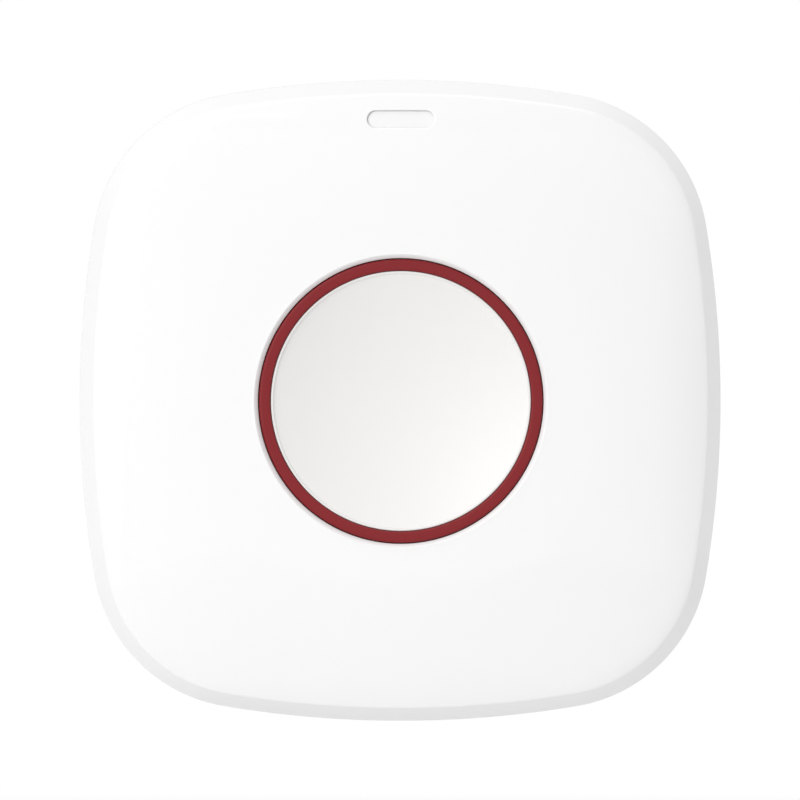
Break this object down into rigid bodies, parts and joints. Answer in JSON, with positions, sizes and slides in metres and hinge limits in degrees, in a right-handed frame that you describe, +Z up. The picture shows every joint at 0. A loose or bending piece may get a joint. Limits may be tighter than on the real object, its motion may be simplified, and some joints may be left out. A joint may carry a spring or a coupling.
{
  "type": "wireless panic button",
  "caption": "Square, pillow-faced wall button with a dished push button in a red ring, an indicator slot, and a coin cell, circuit board and push switch inside.",
  "frame": {"origin": "centre of the rear cover's flat back face, which lies on the wall", "axes": "+Z up, with the indicator slot at the top; the face looks along -Y; +X to the right as seen from the front"},
  "size_m": [0.062, 0.0188, 0.062],
  "materials": {
    "white_case": "satin gloss",
    "white_matt": "fine matt",
    "white_cap": "satin",
    "red_ring": "satin, dark red",
    "frosted_window": "frosted",
    "lamp_lens": "clear",
    "black_moulding": "fine matt",
    "dark_rubber": "matt",
    "board_green": "lacquered",
    "screw_steel": "nickel plated",
    "cell_steel": "satin",
    "spring_steel": "bright",
    "tinned_brass": "tinned",
    "chip_ceramic": "matt"
  },
  "bodies": {
    "housing": {"front_cover": "white_case", "rear_cover": "white_matt", "cover_screw": "screw_steel", "circuit_board": "board_green", "board_screws": "screw_steel", "coin_cell": "cell_steel", "cell_holder": "black_moulding", "contact_plus": "spring_steel", "contact_minus": "spring_steel", "switch_base": "black_moulding", "switch_cover": "spring_steel", "switch_terminals": "tinned_brass", "rubber_dome": "dark_rubber", "spring_seat": "white_matt", "return_spring": "spring_steel", "light_guide": "frosted_window", "status_led": "lamp_lens", "radio_shield": "spring_steel", "controller_chip": "black_moulding", "crystal": "cell_steel", "chip_parts": "chip_ceramic", "antenna": "tinned_brass", "tamper_switch": "black_moulding", "tamper_plunger": "white_matt"},
    "button": {"button_carrier": "red_ring", "button_cap": "white_cap"},
    "plunger": {"switch_plunger": "black_moulding"}
  },
  "joints": [
    {"name": "button_press", "type": "slide", "parent": "housing", "child": "button", "axis": [0, 1, 0], "range_m": [0, 0.0007], "stiffness_N_per_m": 1500, "springref_m": -0.001, "deforming": ["return_spring"]},
    {"name": "plunger_press", "type": "slide", "parent": "housing", "child": "plunger", "axis": [0, 1, 0], "range_m": [0, 0.0007], "deforming": ["rubber_dome"]}
  ],
  "couplings": [
    {"joint": "plunger_press", "follows": "button_press", "ratio": 1}
  ]
}
